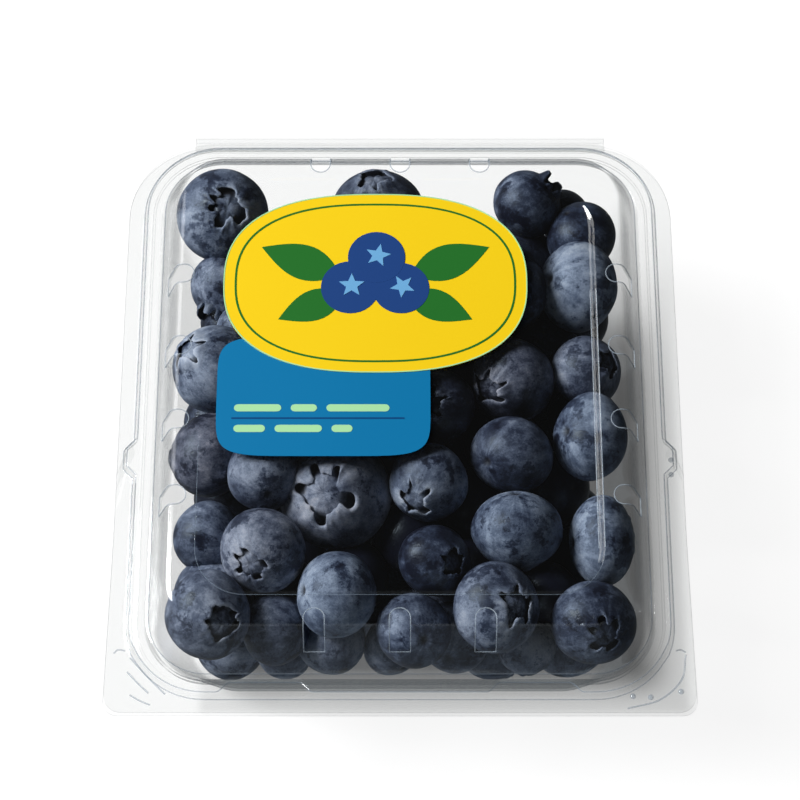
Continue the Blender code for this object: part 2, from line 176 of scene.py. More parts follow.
# ---- berries ----
HEAP_TOP = 39.4
ROOM = (  # height, half sizes across and along, corner radius
    (1.1, 38.4, 45.8, 8.0),
    (3.0, 40.0, 47.4, 9.0),
    (22.0, 44.8, 52.2, 9.6),
    (28.5, 46.2, 53.6, 9.6),
    (38.0, 43.2, 49.4, 8.0),
    (HEAP_TOP, 42.6, 48.6, 8.0),
)
LOWER_ROWS = (  # height, place along the tray, half of the row's span, count, radius
    (22.0, -46.5, 12.0, 2, 6.6), (14.0, -45.5, 37.0, 5, 7.8), (19.0, -47.0, 25.0, 3, 6.2),
    (15.0, -37.0, 29.0, 2, 6.5), (19.5, -31.0, 36.0, 5, 7.8), (17.5, -13.0, 28.0, 4, 7.6),
    (17.5, 3.0, 35.0, 5, 7.6), (17.5, 18.0, 28.0, 4, 7.6), (17.5, 34.0, 33.0, 5, 7.6),
    (9.2, -38.0, 28.0, 5, 7.6), (9.2, -23.0, 31.0, 5, 7.6), (9.2, -8.0, 26.0, 4, 7.6),
    (9.2, 8.0, 31.0, 5, 7.6), (9.2, 23.0, 26.0, 4, 7.6), (9.2, 38.0, 28.0, 5, 7.6),
)
SETTLE_ROUNDS = 60
WALL_LEAN = 1.03
TOUCH = 0.97
CORE_INSET, CORE_LOW, CORE_HIGH = 11.0, 6.0, 13.0
FRONT_ROW = -36.0
INNER_X = 28.0
# Bloom of the lower berries: the deep and side ones get little or none, a painted shade that darkens
# them; the front row keeps a full bloom.
DEEP_PAINTED_SHADE_BLOOM, SIDE_PAINTED_SHADE_BLOOM, FRONT_BLOOM = (-0.6, -0.4), (0.0, 0.2), (0.5, 0.8)
LOWER_WARM = 0.2

# A crown, in shares of the berry's radius: where the gaps between its sepals end, where the sepals'
# tips reach in to, how far the tips rise, how deep the disc lies at its middle and at its rim. Then how
# broad the sepals are, how dark the disc, partly its own dark colour and partly painted shade in its
# hollow, how pale the sepals' edges, partly their own pale colour and partly a painted highlight where
# they catch the light, and how flush the sepals lie.
Crown = namedtuple("Crown", "gap tip rise middle rim broad shade light flush")
STAR = Crown(0.54, 0.29, 0.01, 0.02, 0.17, 0.6, 0.0, 0.2, 1.15)
STUB = Crown(0.42, 0.27, 0.01, 0.03, 0.15, 0.58, 0.08, 0.3, 0.8)
RING = Crown(0.42, 0.33, 0.05, 0.08, 0.17, 0.5, 0.22, 0.9, 0.55)
LOBED = Crown(0.45, 0.24, 0.03, 0.05, 0.16, 0.36, 0.15, 0.7, 0.75)
OPEN = Crown(0.41, 0.28, 0.05, 0.08, 0.16, 0.48, 0.2, 0.8, 0.55)
CURLED = Crown(0.46, 0.23, 0.09, 0.05, 0.13, 0.52, 0.12, 1.3, 0.7)
FRINGE = Crown(0.34, 0.33, 0.24, 0.12, 0.15, 0.48, 0.7, 0.6, 0.0)
SEPALS = 5

# How finely a berry is made: its height for its width, points round it and rows down its body.
Detail = namedtuple("Detail", "squash sides body_rows")
FINEST, FINE, COARSE = Detail(0.92, 128, 24), Detail(0.92, 62, 24), Detail(0.94, 36, 14)
TOP_SEED, PLACE_SEED, LOWER_SEED = 100, 500, 600
BLOOM_COLOURS = (  # the skin's colours, from bare to covered in bloom
    (0.08, (0.007, 0.009, 0.02)),
    (0.32, (0.026, 0.037, 0.07)),
    (0.54, (0.093, 0.124, 0.192)),
    (0.78, (0.23, 0.286, 0.388)),
    (1.0, (0.355, 0.415, 0.512)),
)

# The bloom's noise: scale, detail, roughness and how strongly it counts; then the rubbed patches.
BLOOM_LAYERS = ((140.0, 4.0, 0.55, 1.7), (600.0, 4.0, 0.65, 0.8), (2600.0, 2.0, 0.6, 0.45))
STREAK_SCALE = (3.0, 3.0, 0.9)
STREAK_LAYER = (1.0, 5.0, 0.65, 0.8)
RUBBED_NOISE = (170.0, 6.0, 0.7)
RUBBED_SPREAD = (0.54, 0.59, 0.06, -0.30)
WARM_TINT = (1.34, 1.0, 0.82)
# The dark of the crown and stem scar: their own dark colour, with painted shade in the crown's deep
# gaps and creases.
CROWN_DARK_AND_PAINTED_SHADE = (0.010, 0.009, 0.012)
SKIN_ROUGHNESS = (0.32, 0.66)
SKIN_GLOSS_TINT = (0.72, 0.86, 1.0)

# The top layer: place across, along and up, radius; the way the crown faces (degrees round from +X
# and up); the crown; how much bloom and warmth the skin has; how wide it is for its length; and the
# angles of the gaps between its sepals, where they matter.
Berry = namedtuple("Berry", "x y z radius around up crown bloom warm wide gaps", defaults=(1.0, ()))
TOP_BERRIES = [Berry(*row) for row in (
    (-36.0, 43.0, 28.5, 9.5, -55, 70, LOBED, 0.68, 0.1, 0.98, (92, 150, 190, 235, 330)),
    (-4.5, 43.0, 30.0, 9.2, 100, 62, OPEN, 0.48, 0.2, 1.02),
    (25.5, 45.0, 30.0, 7.2, 28, 31, FRINGE, 0.42, 0.1),
    (36.5, 38.5, 28.5, 7.3, -40, -50, RING, 0.3, 0.0),
    (-35.5, 29.5, 22.5, 7.1, -119, 0, FRINGE, 0.6, 0.15),
    (-20.0, 27.0, 27.5, 8.6, 60, 20, RING, 0.5, 0.1),
    (-3.0, 26.5, 27.5, 9.0, 200, 40, CURLED, 0.4, 0.1),
    (11.5, 34.0, 26.5, 7.8, 30, 50, RING, 0.3, 0.1),
    (21.0, 24.0, 30.5, 8.5, -60, -55, RING, 0.3, 0.0),
    (35.5, 26.0, 30.5, 8.7, 5, -35, RING, 0.78, 0.0, 0.88),
    (-36.5, 7.5, 30.5, 8.7, 164, 49, CURLED, 0.72, 0.1),
    (-31.0, 18.5, 25.5, 5.8, 80, 10, RING, 0.7, 0.1),
    (-5.5, 8.0, 27.0, 8.2, -10, 40, STAR, 0.4, 0.1),
    (7.0, -1.0, 31.5, 7.4, -120, 70, CURLED, 0.15, 0.3),
    (21.5, 5.5, 30.5, 8.8, -136, 37, CURLED, 0.44, 0.45, 1.04),
    (36.5, 7.5, 30.5, 7.1, -12, 49, OPEN, 0.54, 0.25, 1.03),
    (-37.0, -9.0, 26.5, 8.1, 170, -20, RING, 0.5, 0.6),
    (-26.0, -15.5, 32.0, 7.3, 100, -30, RING, 0.55, 0.2, 0.96),
    (-12.5, -17.0, 27.0, 10.9, -116, 63, STAR, 0.74, 0.3, 1.0, (48, 112, 166, 258, 348)),
    (5.5, -17.0, 31.5, 7.6, -118, 36, CURLED, 0.66, 0.1),
    (21.5, -11.0, 31.0, 8.0, 36, -36, RING, 0.4, 0.15, 1.16),
    (37.0, -7.0, 31.0, 8.2, 10, -40, RING, 0.62, 0.0, 0.86),
    (-37.0, -25.5, 24.5, 7.0, 150, -30, RING, 0.52, 0.15),
    (-26.0, -31.0, 31.0, 8.1, -113, 45, STUB, 0.7, 0.3, 1.02, (6, 104, 152, 204, 288)),
    (-12.0, -39.5, 30.5, 8.4, 5, -30, RING, 0.74, 0.0, 0.92),
    (6.5, -33.0, 31.0, 6.9, -29, 50, OPEN, 0.2, 0.05, 1.04),
    (22.0, -26.5, 30.5, 8.3, -90, -40, RING, 0.69, 0.0, 1.1),
    (38.5, -27.5, 28.5, 7.6, 10, -15, RING, 0.76, 0.0, 0.78),
    (-36.0, -43.5, 30.5, 8.3, -49, 49, RING, 0.56, 0.2),
    (-23.5, -44.0, 24.0, 6.8, 170, -40, RING, 0.46, 0.2),
    (2.5, -46.0, 28.5, 7.1, 120, -50, RING, 0.42, 0.1),
    (18.0, -42.0, 30.5, 8.5, -30, 56, CURLED, 0.64, 0.15, 0.98),
    (36.5, -44.5, 28.5, 8.0, -68, 49, LOBED, 0.38, 0.1, 1.02, (60, 110, 165, 230, 300)),
    (9.0, 15.5, 28.5, 7.6, 0, 70, RING, 0.4, 0.1),
    (33.5, 45.5, 24.0, 5.5, 0, -40, RING, 0.2, 0.0),
)]

# ---- the view, the lights (place, size, power) and the floor ----
VIEW_ELEVATION = 65.0
VIEW_DISTANCE = 503.6
VIEW_TARGET = Vector((0.0, 2.35, LID_FLANGE_TOP))
LENS = 115.5
LIGHTS = {
    "key_light": ((-1010.0, 240.0, 800.0), (420.0, 600.0), 24.5),
    "back_light": ((-800.0, 570.0, 920.0), (440.0, 460.0), 1.8),
}
LIGHT_TARGET = Vector((0.0, 0.0, 25.0))
SKY_COLOUR = (0.86, 0.94, 1.0)
# The sky's strength: between the first two places it goes from the third number to the fourth.
SKY_OVERHEAD = (-1.0, 0.3, 0.02, 0.003)
SKY_FRONT = (-0.95, -0.7, 0.7)
SKY_BACK, SKY_BACK_END = (0.93, 1.0), 0.2
SKY_BELOW = (-0.8, 0.8, 0.32, 0.05)
SKY_LINE = (-0.06, 0.02)
FLOOR_SIZE, FLOOR_LEVEL = 2000.0, -0.05
FLOOR_GREY = (0.2, 0.2, 0.2)
# The floor's glow, and how much of it is taken away under the punnet as a painted shadow: depth, then
# the two ends of the fade in and of the fade out, across and along.
FLOOR_GLOW = 0.9
FLOOR_PAINTED_SHADOW = (
    (0.54, (-39.0, -28.0, 46.0, 57.0), (-52.5, -43.0, 26.0, 42.0)),
    (0.22, (-41.0, -38.0, 55.5, 58.5), (-54.0, -51.5, 12.0, 50.0)),
)

Outline = namedtuple("Outline", "half_x front back front_radius back_radius")


# ---- outlines and shells ----


def even(half_x, half_y, radius):
    """An outline that is the same at the front and the back."""
    return (half_x, half_y, half_y, radius, radius)


def arc(radius, start, stop, steps=CORNER_STEPS, centre=(0.0, 0.0)):
    """A circular arc's points, between two angles in degrees."""
    angles = (math.radians(start + (stop - start) * i / steps) for i in range(steps + 1))
    return [(centre[0] + radius * math.cos(a), centre[1] + radius * math.sin(a)) for a in angles]


def bar(x, y, length, height, steps=6):
    """A bar with round ends."""
    half = height / 2
    run = length / 2 - half
    right = arc(half, -90.0, 90.0, steps, (x + run, y))
    return right + arc(half, 90.0, 270.0, steps, (x - run, y))


def circle(count, start=0.0):
    """The cosines and sines of even steps round a circle, from an angle in degrees."""
    angles = math.radians(start) + 2 * np.pi * np.arange(count) / count
    return np.cos(angles), np.sin(angles)


def at_height(points, z):
    return np.column_stack([points, np.full(len(points), z)])


def smooth(value, low, high):
    """0 below `low`, 1 above `high` and an even S between them."""
    share = np.clip((value - low) / (high - low), 0.0, 1.0)
    return share * share * (3 - 2 * share)


def run_marks(stops):
    """Marks along a straight run, close together round the given stops."""
    marks = set()
    for stop, half, count in stops:
        marks |= {round(stop - half + 2 * half * i / count, 4) for i in range(count + 1)}
    return sorted(marks)


FRONT_STOPS = [(side * share, PAD_EASE, 6) for side in (-1, 1) for share in (PAD_FROM, PAD_TO)]
FRONT_MARKS = run_marks(FRONT_STOPS + [(-0.69, 0.07, 2), (0.05, 0.25, 3), (0.69, 0.07, 2)])
RIGHT_MARKS = run_marks([(-0.24, 0.13, 12), (0.3, 0.3, 3)])
BACK_MARKS = [-0.7, -0.35, 0.05, 0.35, 0.7]


def outline_points(outline):
    """A rounded rectangle, anticlockwise from its front left corner."""
    half_x, front, back, front_r, back_r = outline
    front_run = half_x - front_r
    back_run = half_x - back_r
    side_low = -front + front_r
    side_high = back - back_r
    side_mid = (side_low + side_high) / 2
    side_run = (side_high - side_low) / 2
    points = arc(front_r, 180.0, 270.0, centre=(-front_run, side_low))
    points += [(front_run * m, -front) for m in FRONT_MARKS]
    points += arc(front_r, 270.0, 360.0, centre=(front_run, side_low))
    points += [(half_x, side_mid + side_run * m) for m in RIGHT_MARKS]
    points += arc(back_r, 0.0, 90.0, centre=(back_run, side_high))
    points += [(-back_run * m, back) for m in BACK_MARKS]
    points += arc(back_r, 90.0, 180.0, centre=(-back_run, side_high))
    points += [(-half_x, side_mid + side_run * m) for m in RIGHT_MARKS[::-1]]
    return np.array(points)


def rounded(rows):
    """Rounds the bends of a run of stations. A row ends with the length that its bend may take."""
    bends = [row[-1] for row in rows]
    rows = [np.array(row[:-1], float) for row in rows]
    made = [rows[0]]
    for before, here, after, bend in zip(rows, rows[1:], rows[2:], bends[1:]):
        ends = []
        for step in (before - here, after - here):
            length = math.hypot(step[0], step[5])
            ends.append(here + step * (min(bend, 0.48 * length) / length))
        for i in range(BEND_STEPS + 1):
            t = i / BEND_STEPS
            made.append(ends[0] * (1 - t) ** 2 + here * 2 * t * (1 - t) + ends[1] * t * t)
    return made + [rows[-1]]


def lid_rows():
    """Half sizes, corner radii, height, latch pads' inset and drop, boss and bend, from the edge in."""
    top = DOME_HEIGHT
    return (
        (54.8, 61.6, 60.4, 3.6, 17.0, 0.0, *PLAIN, 0.0),
        (*even(51.75, 59.15, 15.35), 0.0, 0.0, 0.0, 1.0, 0.5),
        (*even(51.35, 58.75, 14.95), RING_HEIGHT - 0.5, 0.0, PAD_DROP, 1.0, 0.5),
        (*even(50.9, 58.3, 14.5), RING_HEIGHT, PAD_INSET, PAD_DROP, 1.0, 0.4),
        (*even(50.4, 57.8, 14.0), RING_HEIGHT, PAD_INSET, 0.0, 0.4, 0.4),
        (*even(47.4, 54.8, 11.3), RING_HEIGHT, *PLAIN, 0.9),
        (*even(43.9, 49.8, 9.1), top - 1.3, *PLAIN, 0.3),
        (*even(DOME_EDGE_X, DOME_EDGE_Y, 8.6), top - 0.35, *PLAIN, 0.22),
        (*even(42.4, 48.3, 8.0), top, *PLAIN, 0.3),
        (*even(38.1, 43.4, 9.4), top, *PLAIN, 0.5),
        (*even(37.0, 42.3, 8.6), top - PANEL_DROP, *PLAIN, 0.5),
        (*even(34.0, 39.3, 6.6), top - PANEL_DROP, *PLAIN, 0.0),
    )


def tray_rows():
    """The same for the tray: from its edge in over the bead, down the wall and over the base."""
    base = SHEET - TRAY_FLANGE_TOP
    return (
        (55.0, 62.0, 60.0, 3.0, 16.6, 0.0, *PLAIN, 0.0),
        (*even(50.2, 57.6, 13.8), 0.0, *PLAIN, 0.4),
        (*even(49.9, 57.3, 13.5), BEAD_HEIGHT, *PLAIN, 0.4),
        (*even(47.9, 55.3, 11.6), BEAD_HEIGHT, *PLAIN, 0.6),
        (*even(47.3, 54.7, 11.2), -2.5, *PLAIN, 0.5),
        (*even(46.3, 53.7, 10.4), -3.3, *PLAIN, 0.6),
        (*even(41.2, 48.6, 9.8), base + 1.5, *PLAIN, 1.6),
        (*even(39.4, 46.8, 8.8), base, *PLAIN, 1.2),
        (*even(36.4, 43.8, 6.8), base, *PLAIN, 0.0),
    )


def ring_points(row, base):
    """One closed loop of the sheet, with the latch pads and the side bosses that it has."""
    outline = Outline(*row[:5])
    height, inset, drop, boss = row[5:9]
    points = at_height(outline_points(outline), base + height)
    share = np.abs(points[:, 0]) / (outline.half_x - outline.front_radius)
    pad = smooth(share, PAD_FROM - PAD_EASE, PAD_FROM + PAD_EASE)
    pad -= smooth(share, PAD_TO - PAD_EASE, PAD_TO + PAD_EASE)
    pad[points[:, 1] > -outline.front + 1e-6] = 0.0
    points[:, 1] += inset * pad
    points[:, 2] -= drop * pad
    near = 1 - smooth(np.abs(points[:, 1] - BOSS_Y), 0.45 * BOSS_HALF, BOSS_HALF)
    reach = np.clip((TAB_FROM - points[:, 1]) / TAB_LENGTH, 0.0, 1.0)
    for out in (BOSS_REACH * boss * near, TAB_FLARE * reach):
        points[:, 0] += np.sign(points[:, 0]) * out * (np.abs(points[:, 0]) > TAB_INNER)
    return points


def hoops(loops, count, closed=False):
    """The faces between one closed loop of points and the next, and back to the first if closed."""
    faces = []
    for k in range(loops if closed else loops - 1):
        low, high = k * count, (k + 1) % loops * count
        for i in range(count):
            j = (i + 1) % count
            faces.append((low + i, low + j, high + j, high + i))
    return faces


def stack_faces(rings, count):
    """The faces of stacked closed loops whose ends are closed by two points that follow them."""
    faces = hoops(rings, count)
    last, end = (rings - 1) * count, rings * count
    for i in range(count):
        j = (i + 1) % count
        faces += [(end, j, i), (last + i, last + j, end + 1)]
    return faces


def shell(rows, base):
    """The sheet's upper side as points and faces, from its edge to the flat that closes it."""
    rings = [ring_points(row, base) for row in rounded(rows)]
    count = len(rings[0])
    last = (len(rings) - 1) * count
    return np.concatenate(rings), hoops(len(rings), count) + [tuple(range(last, last + count))]


# ---- making objects ----


def link(made):
    bpy.context.scene.collection.objects.link(made)
    return made


def shade(mesh, sharp):
    """Smooths a mesh but for the edges that are sharper than the angle in degrees."""
    mesh.shade_smooth()
    mesh.set_sharp_from_angle(angle=math.radians(sharp))


def add_object(name, points, faces, material, sharp=30.0):
    """A mesh object from points in millimetres."""
    mesh = bpy.data.meshes.new(name)
    mesh.from_pydata((np.asarray(points, float) * MM).tolist(), [], faces)
    mesh.validate()
    shade(mesh, sharp)
    mesh.materials.append(material)
    return link(bpy.data.objects.new(name, mesh))


def add_closed(name, part, material):
    """A mesh object from a closed part, with all its faces pointing out."""
    made = add_object(name, *part, material)
    work = bmesh.new()
    work.from_mesh(made.data)
    bmesh.ops.recalc_face_normals(work, faces=work.faces)
    work.to_mesh(made.data)
    work.free()
    return made


def prism(points, low, high):
    """An outline pulled up from `low` to `high`, as points and faces."""
    count = len(points)
    ends = [tuple(range(count))[::-1], tuple(range(count, 2 * count))]
    return np.concatenate([at_height(points, z) for z in (low, high)]), hoops(2, count) + ends


def join_parts(parts):
    """Several (points, faces) as one."""
    points, faces, start = [], [], 0
    for part_points, part_faces in parts:
        points.append(part_points)
        faces += [tuple(i + start for i in face) for face in part_faces]
        start += len(part_points)
    return np.concatenate(points), faces


def placed(part, x, y, facing):
    """A part turned about Z by degrees and moved."""
    points, faces = part
    turn = np.array(Matrix.Rotation(math.radians(facing), 3, "Z"))
    return points @ turn.T + (x, y, 0.0), faces


def thicken_and_cut(made, cutters):
    """Gives the sheet its thickness below its upper side and cuts the vents through it."""
    solid = made.modifiers.new("sheet", "SOLIDIFY")
    solid.thickness = SHEET * MM
    solid.offset = -1.0
    solid.use_even_offset = True
    cutter = add_closed(made.name + "_cutter", join_parts(cutters), made.data.materials[0])
    boolean = made.modifiers.new("vents", "BOOLEAN")
    boolean.object = cutter
    boolean.operation = "DIFFERENCE"
    boolean.solver = "EXACT"
    graph = bpy.context.evaluated_depsgraph_get()
    mesh = bpy.data.meshes.new_from_object(made.evaluated_get(graph))
    made.modifiers.clear()
    made.data = mesh
    shade(mesh, SHEET_SHARP)
    bpy.data.objects.remove(cutter, do_unlink=True)


def tube(path, radius, closed=False, sides=8):
    """A round bar along a path, as points and faces."""
    path = np.asarray(path, float)
    count = len(path)
    ahead = np.roll(path, -1, 0) - np.roll(path, 1, 0) if closed else np.gradient(path, axis=0)
    ahead /= np.linalg.norm(ahead, axis=1)[:, None]
    side = np.cross(ahead[0], (0.0, 0.0, 1.0))
    if np.linalg.norm(side) < 0.1:
        side = np.cross(ahead[0], (1.0, 0.0, 0.0))
    c, s = circle(sides)
    rings = []
    for here, along in zip(path, ahead):
        side = side - along * side.dot(along)
        side /= np.linalg.norm(side)
        rings.append(here + radius * (np.outer(c, side) + np.outer(s, np.cross(along, side))))
    faces = hoops(count, sides, closed)
    if not closed:
        faces.append(tuple(range(sides))[::-1])
        faces.append(tuple(range((count - 1) * sides, count * sides)))
    return np.concatenate(rings), faces


# ---- materials ----


def opaque(colour):
    return (*colour, 1.0)


class Nodes:
    """A short way to write the nodes of a material or the world."""

    def __init__(self, holder):
        holder.use_nodes = True
        self.holder = holder
        self.tree = holder.node_tree
        self.tree.nodes.clear()

    def add(self, kind, inputs=None, **settings):
        node = self.tree.nodes.new("ShaderNode" + kind)
        for key, value in settings.items():
            setattr(node, key, value)
        for key, value in (inputs or {}).items():
            if isinstance(value, bpy.types.NodeSocket):
                self.tree.links.new(value, node.inputs[key])
            else:
                node.inputs[key].default_value = value
        return node

    def place(self):
        return self.add("TexCoord").outputs["Object"]

    def noise(self, vector, scale, detail, roughness=0.5):
        inputs = {"Vector": vector, "Scale": scale, "Detail": detail, "Roughness": roughness}
        return self.add("TexNoise", inputs).outputs["Fac"]

    def bump(self, height, strength, distance):
        inputs = {"Height": height, "Strength": strength, "Distance": distance}
        return self.add("Bump", inputs).outputs["Normal"]

    def ramp(self, value, stops):
        """Maps a value through (position, colour) stops."""
        node = self.add("ValToRGB", {"Fac": value})
        elements = node.color_ramp.elements
        while len(elements) < len(stops):
            elements.new(0.5)
        for element, (position, colour) in zip(elements, stops):
            element.position = position
            element.color = opaque(colour)
        return node.outputs["Color"]

    def spread(self, value, start, end, first=0.0, last=1.0, **settings):
        """Maps a value from one range to another."""
        inputs = {"Value": value, "From Min": start, "From Max": end, "To Min": first, "To Max": last}
        return self.add("MapRange", inputs, **settings).outputs[0]

    def mix(self, share, first, second, blend="MIX"):
        """Mixes two colours."""
        inputs = {0: share, 6: first, 7: second}
        return self.add("Mix", inputs, data_type="RGBA", blend_type=blend).outputs[2]

    def maths(self, operation, *values):
        return self.add("Math", dict(enumerate(values)), operation=operation).outputs[0]

    def finish(self, shader, kind="OutputMaterial"):
        self.add(kind, {"Surface": shader.outputs[0]}).is_active_output = True
        return self.holder


def clear_sheet(name):
    """Clear glossy film: see-through, with a mirror that grows towards grazing and a trace of haze."""
    haze, tint, dull = FILMS[name]
    nodes = Nodes(bpy.data.materials.new(name))
    bump = nodes.bump(nodes.noise(nodes.place(), 60.0, 2.0), 0.06, 0.001)
    facing = nodes.add("LayerWeight", {"Blend": 0.5}).outputs["Facing"]
    slant = nodes.ramp(facing, ((0.35, BLACK), (0.95, WHITE)))
    film = nodes.mix(slant, opaque(tint), opaque(SLANT_TINT * t for t in tint))
    clear = nodes.add("BsdfTransparent", {"Color": film})
    cloud = nodes.add("BsdfDiffuse", {"Color": opaque(dull)})
    hazed = nodes.add("MixShader", {0: haze, 1: clear.outputs[0], 2: cloud.outputs[0]})
    gloss = {"Color": opaque(WHITE), "Roughness": SHINE_ROUGHNESS, "Normal": bump}
    mirror = nodes.add("BsdfGlossy", gloss)
    grazing = nodes.add("LayerWeight", {"Blend": 0.5, "Normal": bump}).outputs["Facing"]
    steep = nodes.maths("POWER", grazing, SHINE_POWER)
    shine = nodes.maths("MULTIPLY_ADD", steep, SHINE_GRAZING, SHINE_FACING)
    return nodes.finish(nodes.add("MixShader", {0: shine, 1: hazed.outputs[0], 2: mirror.outputs[0]}))


def berry_skin():
    """Blue-black skin under a mottled, rubbed bloom. The mesh carries each berry's own values."""
    nodes = Nodes(bpy.data.materials.new("berry_skin"))
    own = nodes.add("Attribute", attribute_name="berry").outputs
    split = nodes.add("SeparateColor", {"Color": own["Color"]}).outputs
    bloom, warm, dark, pale = split["Red"], split["Green"], split["Blue"], own["Alpha"]
    where = nodes.place()
    along = nodes.add("Attribute", attribute_name="skin_at").outputs["Vector"]
    streaks = nodes.add("Mapping", {"Vector": along, "Scale": STREAK_SCALE}).outputs["Vector"]
    cover = bloom
    layers = [(where, *layer) for layer in BLOOM_LAYERS] + [(streaks, *STREAK_LAYER)]
    for vector, scale, detail, roughness, strength in layers:
        lifted = nodes.maths("SUBTRACT", nodes.noise(vector, scale, detail, roughness), 0.5)
        cover = nodes.maths("MULTIPLY_ADD", lifted, strength, cover)
    patch = nodes.spread(nodes.noise(where, *RUBBED_NOISE), *RUBBED_SPREAD)
    cover = nodes.maths("ADD", cover, patch)
    # Pale marks lighten the sepals' edges: partly their own pale colour, partly a painted highlight.
    cover = nodes.maths("MULTIPLY_ADD", pale, 0.4, cover)
    rubbed = nodes.ramp(nodes.maths("MULTIPLY", cover, 0.8), BLOOM_COLOURS)
    tint = nodes.mix(warm, opaque(WHITE), opaque(WARM_TINT))
    # Dark marks paint the crown's and stem scar's dark, with painted shade in the crown's gaps and
    # creases.
    colour = nodes.mix(dark, nodes.mix(1.0, rubbed, tint, "MULTIPLY"), opaque(CROWN_DARK_AND_PAINTED_SHADE))
    rough = nodes.spread(cover, 0.0, 1.0, *SKIN_ROUGHNESS)
    bump = nodes.bump(cover, 0.22, 0.0003)
    shader = nodes.add("BsdfPrincipled", {"Base Color": colour, "Roughness": rough, "Normal": bump})
    shader.inputs["Specular IOR Level"].default_value = 0.35
    shader.inputs["Specular Tint"].default_value = opaque(SKIN_GLOSS_TINT)
    return nodes.finish(shader)


def print_ink(name):
    """Glossy printed film with a faint unevenness."""
    nodes = Nodes(bpy.data.materials.new("ink_" + name))
    where = nodes.place()
    paler = [min(1.0, c * 1.06 + 0.001) for c in INKS[name]]
    tone = nodes.mix(nodes.noise(where, 40.0, 3.0), opaque(INKS[name]), opaque(paler))
    bump = nodes.bump(nodes.noise(where, 1200.0, 2.0), 0.05, 0.0001)
    shader = nodes.add("BsdfPrincipled", {"Base Color": tone, "Roughness": 0.5, "Normal": bump})
    shader.inputs["Specular IOR Level"].default_value = 0.2
    return nodes.finish(shader)


# ---- the lid and the tray ----


def vent_outline():
    half = VENT_WIDTH / 2
    round_end = arc(half, 90.0, 270.0, centre=(half - VENT_REACH, 0.0))
    return round_end + [(VENT_RUN_OUT, -half), (VENT_RUN_OUT, half)]


def vent_places():
    """Where each slot crosses the dome's top edge, and the way it faces, in degrees."""
    ends = [(i * END_VENT_PITCH, s * DOME_EDGE_Y, s * 90.0) for i in (-1, 0, 1) for s in (-1, 1)]
    steps = (-1.5, -0.5, 0.5, 1.5)
    return ends + [
        (s * DOME_EDGE_X, i * SIDE_VENT_PITCH, 90.0 - s * 90.0) for i in steps for s in (1, -1)
    ]


def dome_section(across_front):
    """How far out from the dome's top edge each station of the lid lies, and its height."""
    column, edge = (1, DOME_EDGE_Y) if across_front else (0, DOME_EDGE_X)
    return [(row[column] - edge, row[5]) for row in rounded(lid_rows())]


def vent_lips():
    """Thin pale beads along the slots' edges, partly the cut edges' own whiteness and partly a painted
    highlight: up one side, round the end on the top and down the other.
    """
    half = VENT_WIDTH / 2
    start = half - VENT_REACH
    parts = []
    for x, y, facing in vent_places():
        section = dome_section(abs(facing) == 90.0)
        wall = sorted((height, out) for out, height in section if out > WALL_FROM)
        side = [(float(np.interp(VENT_BOTTOM, *zip(*wall))), VENT_BOTTOM)]
        side += [(out, height) for out, height in section if height >= VENT_BOTTOM and out > start]
        top = max(height for _, height in section)
        path = [(out, -half, height) for out, height in side]
        path += [(*place, top) for place in arc(half, 270.0, 90.0, centre=(start, 0.0))]
        path += [(out, half, height) for out, height in side[::-1]]
        path = np.array(path) + (0.0, 0.0, LID_FLANGE_TOP - LIP_RADIUS)
        parts.append(placed(tube(path, LIP_RADIUS, closed=True), x, y, facing))
    return join_parts(parts)


def crease_lines():
    """Thin beads where the sheet bends, whose haze and darker tint paint the light and dark lines of
    the
    bends: at the sticker's field, the dome's foot and the raised rim.
    """
    parts = []
    for station, depth, radius in CREASES:
        path = ring_points(lid_rows()[station][:-1], LID_FLANGE_TOP)
        path[:, 2] -= radius + depth
        closed = station != FIELD_EDGE
        if not closed:
            path = np.roll(path, -int(np.argmax(path[:, 1])), axis=0)
            path = path[path[:, 1] < FIELD_CREASE_END]
        parts.append(tube(path, radius, closed, sides=6))
    return join_parts(parts)


def field_highlight_lines():
    """Bright beads that paint the highlight along the right edge of the sticker's field, where it
    catches the light.
    """
    along = np.linspace(*FIELD_SHINE, 9)
    parts = []
    for row in lid_rows()[FIELD_EDGE:FIELD_EDGE + 2]:
        height = LID_FLANGE_TOP + row[5] - 2 * LIP_RADIUS
        parts.append(tube([(row[0], y, height) for y in along], LIP_RADIUS))
    return join_parts(parts)


def hinge_strip(section):
    """Pulls a section, drawn about the joint's axis with +X as the back, along the hinge."""
    points, faces = prism(section, -HINGE_LENGTH / 2, HINGE_LENGTH / 2)
    return np.column_stack([points[:, 2], points[:, 0] + HINGE_Y, points[:, 1] + HINGE_Z]), faces


def lid_roll():
    low, high = STRIP_CLEAR, SHEET - STRIP_CLEAR
    outer_start = 180.0 - math.degrees(math.asin(high / ROLL_OUTER))
    inner_start = 180.0 - math.degrees(math.asin(low / ROLL_INNER))
    outer = arc(ROLL_OUTER, ROLL_END, outer_start)
    inner = arc(ROLL_INNER, inner_start, ROLL_END)
    return hinge_strip(outer + [(-STRIP_REACH, high), (-STRIP_REACH, low)] + inner)


def tray_pin():
    low = STRIP_CLEAR - PLY_GAP - SHEET
    meets = 180.0 + math.degrees(math.asin(NECK_TOP / PIN_RADIUS))
    strip = [(-STRIP_REACH, -NECK_TOP), (-STRIP_REACH, low), (-NECK_START, low)]
    strip += [(-NECK_START, -NECK_BOTTOM), (-NECK_END, -NECK_BOTTOM)]
    return hinge_strip(strip + arc(PIN_RADIUS, -45.0, meets))


def flange_ribs():
    """Small ribs, hooks and dots pressed into the flange, whose edge film paints their light and dark
    lines.
    """
    height = LID_FLANGE_TOP + RIB_RISE
    parts = [tube([(*place, height) for place in curve(line)], RIB_RADIUS) for line in RIBS]
    return join_parts(parts + [button(*place) for place in DOTS])


